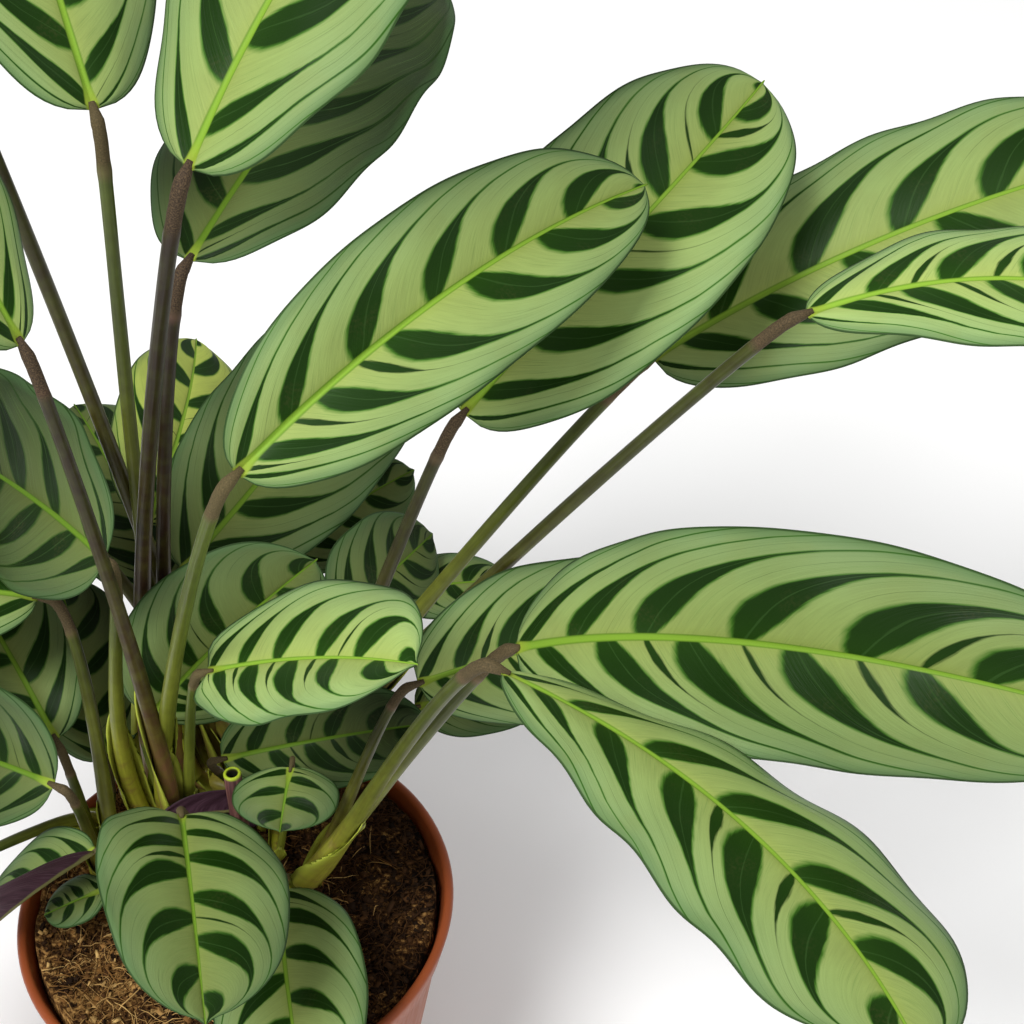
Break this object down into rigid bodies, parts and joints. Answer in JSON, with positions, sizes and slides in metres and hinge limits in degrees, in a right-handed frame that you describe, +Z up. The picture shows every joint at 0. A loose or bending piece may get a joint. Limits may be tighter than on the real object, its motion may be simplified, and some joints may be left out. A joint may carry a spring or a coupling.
{
  "type": "potted ctenanthe",
  "caption": "Leafy prayer plant with striped oval leaves on slender stalks, rooted in coir in a round tapered nursery pot.",
  "frame": {"origin": "middle of the flat underside of the pot, on the surface it stands on", "axes": "+Z up along the pot's axis, -Y towards the viewer of the picture, +X to the viewer's right"},
  "size_m": [0.5201, 0.3383, 0.4845],
  "materials": {
    "pot_plastic": "injection-moulded terracotta plastic, satin",
    "coir": "loose coconut-fibre compost, dry and matte",
    "stalk_green": "smooth living stalks, green streaked with brown",
    "leaf_green": "waxy leaf, silver-green with dark green stripes",
    "cut_stalk": "purple-brown stalk stub with a green cut ring"
  },
  "bodies": {
    "root": {"pot": "pot_plastic", "soil": "coir", "shoot_left": "stalk_green", "shoot_main": "stalk_green", "shoot_back": "stalk_green", "shoot_right": "stalk_green", "shoot_front": "stalk_green", "shoot_low": "stalk_green", "leaf_top_left": "leaf_green", "leaf_top_middle": "leaf_green", "leaf_top_behind": "leaf_green", "leaf_left_edge": "leaf_green", "leaf_left_broad": "leaf_green", "leaf_left_lower": "leaf_green", "leaf_left_lowest": "leaf_green", "leaf_behind_stalks": "leaf_green", "leaf_dark_behind": "leaf_green", "leaf_centre": "leaf_green", "leaf_upper_right": "leaf_green", "leaf_far_right": "leaf_green", "leaf_right_narrow": "leaf_green", "leaf_front_right": "leaf_green", "leaf_front_hanging": "leaf_green", "leaf_pale_small": "leaf_green", "leaf_dark_middle": "leaf_green", "leaf_dark_front": "leaf_green", "leaf_spiky_small": "leaf_green", "leaf_right_middle": "leaf_green", "leaf_over_pot": "leaf_green", "leaf_over_pot_right": "leaf_green", "leaf_behind_lower": "leaf_green", "leaf_tip_behind": "leaf_green", "leaf_under_right": "leaf_green", "leaf_under_middle": "leaf_green", "leaf_curled_left": "leaf_green", "leaf_low_left": "leaf_green", "leaf_young_drooping": "leaf_green", "leaf_purple_back": "leaf_green", "leaf_tall_left": "leaf_green", "leaf_thick_stalk": "leaf_green", "leaf_out_back_left": "leaf_green", "leaf_out_low_left": "leaf_green", "leaf_out_low_back": "leaf_green", "leaf_out_back_low": "leaf_green", "cut_stalk": "cut_stalk"}
  },
  "joints": []
}
